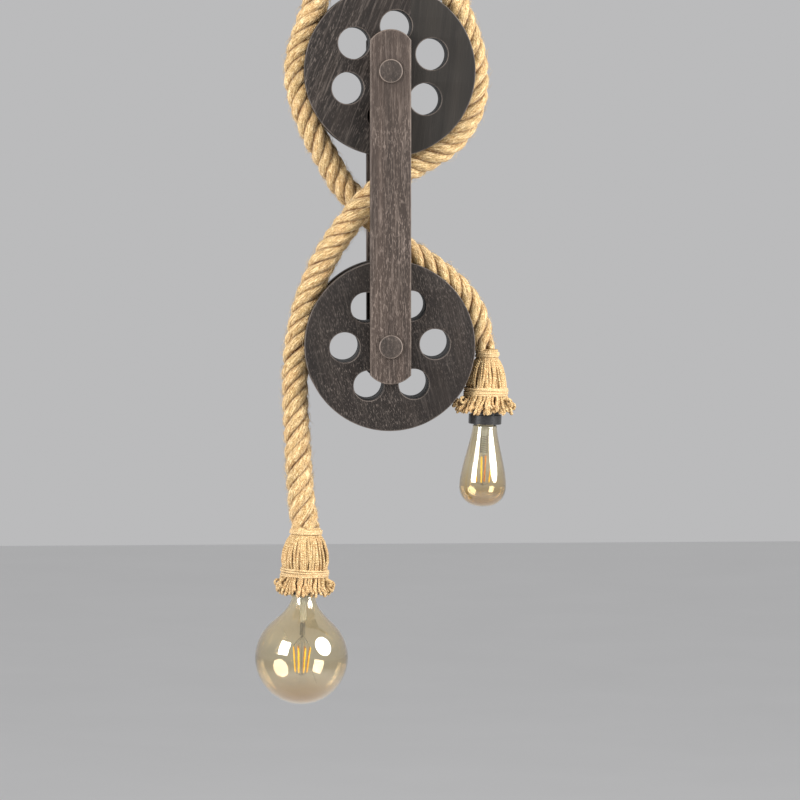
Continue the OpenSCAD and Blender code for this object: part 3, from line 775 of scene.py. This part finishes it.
def tassel(side, lamp):
    """Yarns opened from the rope's end: down over the lampholder, held at the lower binding."""
    rng = random.Random(lamp["seed"])
    build = Builder()
    line = lamp["line"]
    end = line[-1][1]
    parting, spread = lamp["parting"]
    # A painted shade sheet inside the yarns, in slot 1, for the shadow inside the tassel.
    build.turned([(0.3 * MM, 0.5 * MM)] + [((r - 4.2) * MM, d * MM) for r, d in line], sides=64, slot=1)
    steps = 44
    for layer, (count, inset) in enumerate(((lamp["yarns"], 1.7), (lamp["yarns"] - 6, 3.8))):
        for k in range(count):
            angle = 2 * math.pi * (k + 0.5 * layer + rng.uniform(-0.2, 0.2)) / count
            drift = rng.uniform(-0.09, 0.09)
            lift = rng.uniform(-1.1, 1.1)
            wave = rng.uniform(0, 2 * math.pi)
            away = (angle - parting + math.pi) % (2 * math.pi) - math.pi
            push = math.copysign(spread, away) * max(0.0, 1 - abs(away) / 0.45)
            path = []
            for i in range(steps + 1):
                f = i / steps
                d = f * end
                belly = math.sin(math.pi * min(1.0, max(0.0, (d - 9) / (end - 18))))
                r = radius_at(line, d) - inset + lift * belly
                a = angle + drift * f + 0.025 * math.sin(7 * f + wave) + push * belly
                a += lamp["folds"] * math.sin(9 * angle + 1.5 * f) * belly
                path.append(Vector((r * MM * math.cos(a), r * MM * math.sin(a), -d * MM)))
            build.tube(path, YARN_R * rng.uniform(0.86, 1.12), sides=9, plies=2, turn=wave)
    build.place(lamp_matrix(lamp))
    obj = build.finish(side + "_tassel_yarns", [M_YARN, M_PAINTED_SHADE])
    ride_lamp(obj, side, ["tassel"])


def fringe(side, lamp):
    """Cut yarn ends that flare below the lower binding, thick, knobbly and some of them curled."""
    rng = random.Random(lamp["seed"] + 50)
    build = Builder()
    start, end, reach = lamp["fringe"]
    base_r = lamp["low_band"][2]
    # A painted shade cone inside the fringe, in slot 1, for the shadow among the yarn ends.
    build.turned([((base_r - 6) * MM, (start - 3) * MM),
        ((base_r + 0.25 * (reach - base_r)) * MM, (end - 8) * MM)], sides=48, slot=1)
    for row, (count, inset, thick) in enumerate(((44, 1.4, 2.35), (42, 3.6, 2.2), (38, 5.6, 2.0))):
        for k in range(count):
            angle = 2 * math.pi * (k + 0.4 * row + rng.uniform(-0.35, 0.35)) / count
            length = (end - start) * rng.uniform(0.74, 1.02)
            flare = (reach - base_r) * rng.uniform(0.6, 1.08) * (1 - 0.2 * row)
            curl = rng.uniform(-0.16, 0.16)
            bend = rng.uniform(-2.2, 1.6)
            roll = rng.uniform(2.0, 6.5) if rng.random() < 0.5 else 0.0
            path = []
            for i in range(19):
                f = i / 18
                late = max(0.0, f - 0.62) / 0.38
                r = base_r - inset + flare * f ** 1.2 + bend * math.sin(math.pi * f) + 0.55 * roll * math.sin(0.8 * math.pi * late)
                a = angle + curl * f * f + 0.02 * math.sin(9 * f + 5 * curl)
                d = start - 3 + (length + 3) * f - roll * late ** 2
                path.append(MM * Vector((r * math.cos(a) + lamp["sway"] * f * f, r * math.sin(a), -d)))
            tuft = thick * rng.uniform(0.8, 1.15) * MM
            knob = rng.uniform(0.9, 1.35)

            def width(f, t=tuft, k=knob):
                end_on = math.sqrt(max(0.0, 1 - max(0.0, (f - 0.86) / 0.14) ** 2))
                return t * (0.72 + (k - 0.72) * f * f + 0.10 * math.sin(21 * f + 9 * k)) * max(0.25, end_on)

            build.tube(path, width, sides=8, plies=2, pitch=0.006, turn=angle * 7)
    for middle_angle in (-0.25, 3.45):
        for _ in range(4):
            a0 = middle_angle + rng.uniform(-0.35, 0.35)
            size = rng.uniform(3.2, 4.6)
            r0, d0 = reach - size + rng.uniform(-0.5, 1.5), start + size + rng.uniform(2,
                0.45 * (end - start))
            loop = []
            for i in range(25):
                t = math.radians(-120 + 330 * i / 24)
                a = a0 + 0.09 * (i / 24 - 0.5)
                r, d = r0 + size * math.cos(t), d0 + size * math.sin(t)
                loop.append(MM * Vector((r * math.cos(a) + 0.6 * lamp["sway"], r * math.sin(a), -d)))
            build.tube(loop, 1.9 * MM, sides=8, plies=2, pitch=0.006)
    build.place(lamp_matrix(lamp))
    obj = build.finish(side + "_fringe_yarns", [M_YARN, M_PAINTED_SHADE])
    ride_lamp(obj, side, ["fringe"])


def binding(side, lamp, node, band, turns, seed):
    """Twine wound round the tassel, slanted and a little uneven."""
    rng = random.Random(seed)
    build = Builder()
    top, end, r = band
    steps = 60
    spread = (end - top - 2 * TWINE_R / MM) / max(1, turns - 1)
    tilts = [rng.uniform(-0.7, 0.7) for _ in range(turns + 1)]
    phases = [rng.uniform(0, 2 * math.pi) for _ in range(turns + 1)]
    path = []
    for i in range(turns * steps + 1):
        turn = i / steps
        n = min(turns - 1, int(turn))
        f = turn - n
        ease = f * f * (3 - 2 * f)
        a = 2 * math.pi * turn + seed
        tilt = (1 - ease) * tilts[n] * math.sin(a + phases[n]) + ease * tilts[n + 1] * math.sin(a + phases[n + 1])
        d = min(end - 0.6, max(top + 0.6, top + TWINE_R / MM + spread * min(turn, turns - 1) + tilt))
        rr = r + 0.7 + 0.45 * math.sin(5 * math.pi * turn / turns + seed) + 0.35 * math.sin(3.1 * a)
        path.append(Vector((rr * MM * math.cos(a), rr * MM * math.sin(a), -d * MM)))
    build.tube(path, TWINE_R, sides=9, plies=2, pitch=0.006)
    build.place(lamp_matrix(lamp))
    obj = build.finish(side + "_" + node + "_twine", [M_TWINE])
    ride_lamp(obj, side, [node])


for side, lamp in LAMPS.items():
    tassel(side, lamp)
    fringe(side, lamp)
    binding(side, lamp, "top_binding", lamp["top_band"], lamp["turns"][0], lamp["seed"])
    binding(side, lamp, "lower_binding", lamp["low_band"], lamp["turns"][1], lamp["seed"] + 1)

# ---------------------------------------------------------------- bulbs


def bezier(a, b, c, d, u):
    return tuple(
        (1 - u) ** 3 * p + 3 * (1 - u) ** 2 * u * q + 3 * (1 - u) * u * u * r + u ** 3 * s
        for p, q, r, s in zip(a, b, c, d))


GLOBE_R, GLOBE_L, GLOBE_JOIN = 63.5, 178, math.radians(42)
DROP_R, DROP_L, DROP_WIDE, DROP_POWER = 32, 140, 110, 2.3


def globe_line():
    centre = GLOBE_L - GLOBE_R
    join = (GLOBE_R * math.sin(GLOBE_JOIN), centre - GLOBE_R * math.cos(GLOBE_JOIN))
    before = (join[0] - 18 * math.cos(GLOBE_JOIN), join[1] - 18 * math.sin(GLOBE_JOIN))
    line = [bezier((16.5, 30), (16.5, 44), before, join, k / 20) for k in range(20)]
    steps = 56
    for k in range(steps + 1):
        a = GLOBE_JOIN + (math.pi - GLOBE_JOIN) * k / steps
        line.append((max(0.02, GLOBE_R * math.sin(a)), centre - GLOBE_R * math.cos(a)))
    return line


def drop_line():
    line = [bezier((16.6, 29), (18, 52), (DROP_R - 1, 84), (DROP_R, DROP_WIDE), k / 30) for k in range(30)]
    steps = 30
    for k in range(steps + 1):
        a = math.pi / 2 * k / steps
        r = DROP_R * max(0.0, math.cos(a)) ** (2 / DROP_POWER)
        line.append((max(0.02, r), DROP_WIDE + (DROP_L - DROP_WIDE) * math.sin(a) ** (2 / DROP_POWER)))
    return line


def amber_glass(name, low, high, clear, rim, foot):
    """Clear glass with an amber coat: it shows most at the rim, where it is seen edge on, and at the foot."""
    s = Shader(name, Roughness=0.0, IOR=1.35, Transmission_Weight=1.0, Coat_Weight=1.0, Coat_IOR=1.65,
        Coat_Roughness=0.0,
               Coat_Tint=(0.99, 0.97, 0.91, 1.0))
    split = s.node("ShaderNodeSeparateXYZ")
    s.join(s.coords(), split.inputs[0])
    place = s.node("ShaderNodeMapRange")
    s.join(split.outputs[2], place.inputs["Value"])
    place.inputs["From Min"].default_value = low
    place.inputs["From Max"].default_value = high
    edge = s.node("ShaderNodeLayerWeight")
    edge.inputs["Blend"].default_value = 0.35
    tint = s.ramp(edge.outputs["Facing"], [
        (0.0, clear), (0.4, tuple(0.82 * a + 0.18 * b for a, b in zip(clear, rim))),
        (0.7, tuple(0.4 * a + 0.6 * b for a, b in zip(clear, rim))), (0.95, rim)])
    tint = s.mix(s.ramp(place.outputs[0], [(0.0, 1.0), (0.22, 0.25), (0.45, 0.0)]), tint, foot)
    tint = s.mix(s.ramp(place.outputs[0], [(0.72, 0.0), (0.95, 0.8)]), tint, (0.97, 0.97, 0.96))
    return s.surface(tint)


GLASS_WALL = 0.9


def bulb(side, lamp, line, inside):
    """Glass, stem, filaments and wires of one bulb, in the bulb's own measure."""
    at = lamp_matrix(lamp) @ Matrix.Translation((0, 0, -lamp["drop"] * MM))
    outer = [(11.6, 20), (11.6, 27.3)] + [(12.6, 27.8), (15.2, 28.4)] + line
    inner = []
    for k, (r, d) in enumerate(outer):
        r0, d0 = outer[max(k - 1, 0)]
        r1, d1 = outer[min(k + 1, len(outer) - 1)]
        size = math.hypot(r1 - r0, d1 - d0)
        inner.append((max(0.02, r - GLASS_WALL * (d1 - d0) / size), d + GLASS_WALL * (r1 - r0) / size))

    def ready(build, name, materials, node):
        build.place(at)
        obj = build.finish(side + name, materials)
        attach(obj, side + "_bulb")
        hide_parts(side + node)

    build = Builder()
    build.turned([(r * MM, d * MM) for r, d in outer + inner[::-1] + [outer[0]]], sides=128)
    low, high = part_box(side + "_glass")
    glass = amber_glass(side + "_amber_glass", low.z, high.z, inside["clear"], inside["rim"], inside["foot"])
    ready(build, "_bulb_glass", [glass], "_glass")

    # Filament rods: yellow phosphor on the outward side, its orange carrier on the inward side
    build = Builder()
    count, top, end = inside["count"], inside["top"], inside["end"]
    angles = [math.radians(inside["turn"] + 360 * k / count) for k in range(count)]
    for a in angles:
        first = len(build.faces)
        ends = [Vector((r * math.cos(a), r * math.sin(a), -d)) * MM for r,
            d in ((inside["top_r"], top), (inside["end_r"], end))]
        path = [ends[0].lerp(ends[1], i / 20) for i in range(21)]
        build.tube(path, lambda f: MM * (1.15 if 0.04 < f < 0.96 else 0.7), sides=12)
        for n in range(first, len(build.faces)):
            corner = sum((build.verts[v] for v in build.faces[n]), Vector()) / len(build.faces[n])
            f = (corner.z - ends[0].z) / (ends[1].z - ends[0].z)
            off = corner - ends[0].lerp(ends[1], f)
            if off.x * math.cos(a) + off.y * math.sin(a) < -0.1 * MM:
                build.slots[n] = 1
    ready(build, "_filament_rods", [M_FILAMENT, M_CARRIER], "_filaments")

    build = Builder()
    r, foot = inside["stem"]
    stem = [(8.8, 24.2), (8.4, 27), (6.6, 32), (r + 0.8, 36), (r, 40), (r, foot - 3), (r * 0.7, foot - 1),
        (0.2, foot)]
    build.turned([(r * MM, d * MM) for r, d in stem], sides=40)
    ready(build, "_glass_stem", [M_STEM], "_stem")

    build = Builder()
    wire = 0.42 * MM
    hub, fan = end + 4, max(inside["coil"][2], foot) + 1
    build.tube([Vector((0, 0, -d)) * MM for d in (foot - 2, fan, hub)], wire, sides=8)
    for a in angles:
        for r, d, middle_d in ((inside["top_r"], top, fan), (inside["end_r"], end, hub)):
            build.tube([MM * Vector((r * f * math.cos(a), r * f * math.sin(a),
                -(middle_d + (d - middle_d) * f ** 1.4)))
                        for f in (i / 8 for i in range(9))], 0.8 * wire, sides=6)
    coil_r, coil_start, coil_end, pitch = inside["coil"]
    coils = (coil_end - coil_start) / pitch
    for start in inside["coil_phases"]:
        build.tube([
            MM * Vector((coil_r * math.cos(start + 2 * math.pi * coils * f),
                coil_r * math.sin(start + 2 * math.pi * coils * f),
                         -(coil_start + (coil_end - coil_start) * f)))
                             for f in (i / (28 * coils) for i in range(round(28 * coils) + 1))],
            1.5 * wire, sides=7)
    for x, d0, x1, d1 in inside["stays"]:
        build.tube([MM * Vector((x, 1, -d0)), MM * Vector(((x + x1) / 2, 0, -(d0 + d1) / 2)),
            MM * Vector((x1, -1, -d1))], 0.8 * wire, sides=6)
    ready(build, "_wires", [M_WIRE], "_filament_wires")


def filament_material(name, low, high, painted_glow):
    s = Shader(name, Roughness=0.45)
    bands = s.noise(s.coords(), 260, detail=2)
    tone = s.ramp(bands, [(0.3, low), (0.7, high)])
    # Painted glow: a faint emission brightens the filaments, though the bulbs are not lit.
    s.join(tone, s.bsdf.inputs["Emission Color"])
    s.bsdf.inputs["Emission Strength"].default_value = painted_glow
    return s.surface(tone)


def metal(name, colour, roughness, grain=300.0):
    s = Shader(name, Metallic=1.0)
    marks = s.noise(s.coords(), grain, detail=3)
    tone = s.ramp(marks, [(0.3, tuple(c * 0.8 for c in colour)), (0.7, colour)])
    rough = s.ramp(marks, [(0.3, roughness * 0.8), (0.7, roughness * 1.25)])
    return s.surface(tone, rough, s.bump(marks, 0.08, 0.0003))


def stem_material():
    s = Shader("stem_glass", Roughness=0.08, IOR=1.5, Transmission_Weight=0.45)
    seeds = s.noise(s.coords(), 500, detail=1)
    return s.surface(s.ramp(seeds, [(0.3, (0.80, 0.82, 0.80)), (0.7, (0.95, 0.96, 0.94))]), None,
        s.bump(seeds, 0.1, 0.0002))


M_FILAMENT = filament_material("filament_phosphor", (0.80, 0.47, 0.008), (0.92, 0.62, 0.015), 0.5)
M_CARRIER = filament_material("filament_carrier", (0.50, 0.15, 0.005), (0.62, 0.22, 0.01), 0.25)
M_WIRE = metal("filament_wire", (0.25, 0.235, 0.205), 0.3)
M_STEM = stem_material()

bulb("left", LAMPS["left"], globe_line(), {
    "clear": (0.985, 0.965, 0.90), "rim": (0.36, 0.17, 0.02), "foot": (0.62, 0.40, 0.10),
    "count": 8, "turn": 22.5, "top": 100, "end": 135, "top_r": 12.3, "end_r": 8.3, "stem": (5.0, 66),
    "coil": (3.2, 67, 84, 1.7), "coil_phases": (0,), "stays": [(-26, 78, -15, 100), (14, 130, 22, 150)]})
bulb("right", LAMPS["right"], drop_line(), {
    "clear": (0.985, 0.965, 0.90), "rim": (0.36, 0.17, 0.02), "foot": (0.62, 0.40, 0.10),
    "count": 4, "turn": 72, "top": 71, "end": 107, "top_r": 12, "end_r": 8.5, "stem": (3.2, 69),
    "coil": (5.8, 43, 67, 6), "coil_phases": (0, 3.1416), "stays": []})

# ---------------------------------------------------------------- materials of the CAD nodes that stay


def plastic(name, colour, roughness):
    s = Shader(name, Specular_IOR_Level=0.5, Coat_Weight=0.15)
    skin = s.noise(s.coords(), 700, detail=2)
    tone = s.ramp(skin, [(0.3, tuple(c * 0.8 for c in colour)), (0.7, colour)])
    rough = s.ramp(skin, [(0.3, roughness * 0.85), (0.7, roughness * 1.2)])
    return s.surface(tone, rough, s.bump(skin, 0.06, 0.0002))


def black_steel():
    """Satin black paint, a little orange-peeled and marked by rubbing."""
    s = Shader("black_steel", Metallic=0.1, Specular_IOR_Level=0.4)
    peel = s.noise(s.coords(), 420, detail=3)
    rub = s.noise(s.coords(), 45, detail=4)
    tone = s.ramp(rub, [(0.35, (0.018, 0.017, 0.017)), (0.7, (0.05, 0.047, 0.045))])
    rough = s.ramp(rub, [(0.3, 0.54), (0.7, 0.68)])
    return s.surface(tone, rough, s.bump(peel, 0.12, 0.0003))


def felt():
    s = Shader("felt", Roughness=0.95, Sheen_Weight=0.3)
    hair = s.noise(s.coords(), 900, detail=4, rough=0.7)
    tone = s.ramp(hair, [(0.3, (0.012, 0.011, 0.01)), (0.7, (0.05, 0.045, 0.042))])
    return s.surface(tone, None, s.bump(hair, 0.6, 0.0006))


M_STEEL = black_steel()
M_BLACK = plastic("black_plastic", (0.022, 0.021, 0.021), 0.28)
M_CERAMIC = plastic("holder_ceramic", (0.78, 0.76, 0.70), 0.2)
M_BRASS = metal("brass", (0.75, 0.55, 0.24), 0.28)
M_CAP = metal("cap_metal", (0.78, 0.77, 0.73), 0.25)
M_CAP_GLASS = plastic("cap_glass", (0.012, 0.012, 0.015), 0.12)
M_FELT = felt()
FINISH = {
    "ceiling_plate": M_STEEL, "ceiling_eye": M_STEEL, "rope_hook": M_STEEL, "spacer": M_FELT,
    "cord_grip": M_BLACK, "holder_cap": M_BLACK, "holder_body": M_BLACK, "holder_ring": M_BLACK,
    "holder_core": M_CERAMIC, "holder_thread": M_BRASS, "holder_contact": M_BRASS,
    "bulb_cap": M_CAP, "cap_insulator": M_CAP_GLASS, "tip_contact": M_CAP}

for name, obj in frame["nodes"].items():
    for end, material in FINISH.items():
        if name.endswith(end):
            obj.data.materials.clear()
            obj.data.materials.append(material)

# ---------------------------------------------------------------- light and floor

FLOOR_DROP = 2.4


def floor():
    size = 14
    obj = make_mesh("floor", [
        (-size, -size, CEILING_Z - FLOOR_DROP), (size, -size, CEILING_Z - FLOOR_DROP),
        (size, size, CEILING_Z - FLOOR_DROP), (-size, size, CEILING_Z - FLOOR_DROP)], [(0, 1, 2, 3)])
    s = Shader("floor", Roughness=0.8)
    obj.data.materials.append(s.surface(s.ramp(s.noise(s.coords(), 2), [(0.3, 0.78), (0.7, 0.80)])))


def softbox(name, place, size, power, shape="RECTANGLE", size_y=None):
    data = bpy.data.lights.new(name, "AREA")
    data.shape = shape
    data.size = size
    if size_y:
        data.size_y = size_y
    data.energy = power
    obj = bpy.data.objects.new(name, data)
    bpy.context.collection.objects.link(obj)
    obj.location = TARGET + Vector(place)
    obj.rotation_mode = "QUATERNION"
    obj.rotation_quaternion = (TARGET + Vector((0, 0, 0.1)) - obj.location).to_track_quat("-Z", "Y")


def world():
    w = bpy.data.worlds.new("studio")
    w.use_nodes = True
    w.node_tree.nodes["Background"].inputs["Color"].default_value = (0.80, 0.80, 0.81, 1)
    w.node_tree.nodes["Background"].inputs["Strength"].default_value = 0.62
    bpy.context.scene.world = w


floor()
world()
softbox("left_box", (-2.21, -1.74, 1.02), 1.4, 124, "RECTANGLE", 1.7)
softbox("right_box", (2.19, -1.25, 1.06), 2.25, 148, "DISK")
bpy.context.scene.view_settings.view_transform = "Standard"
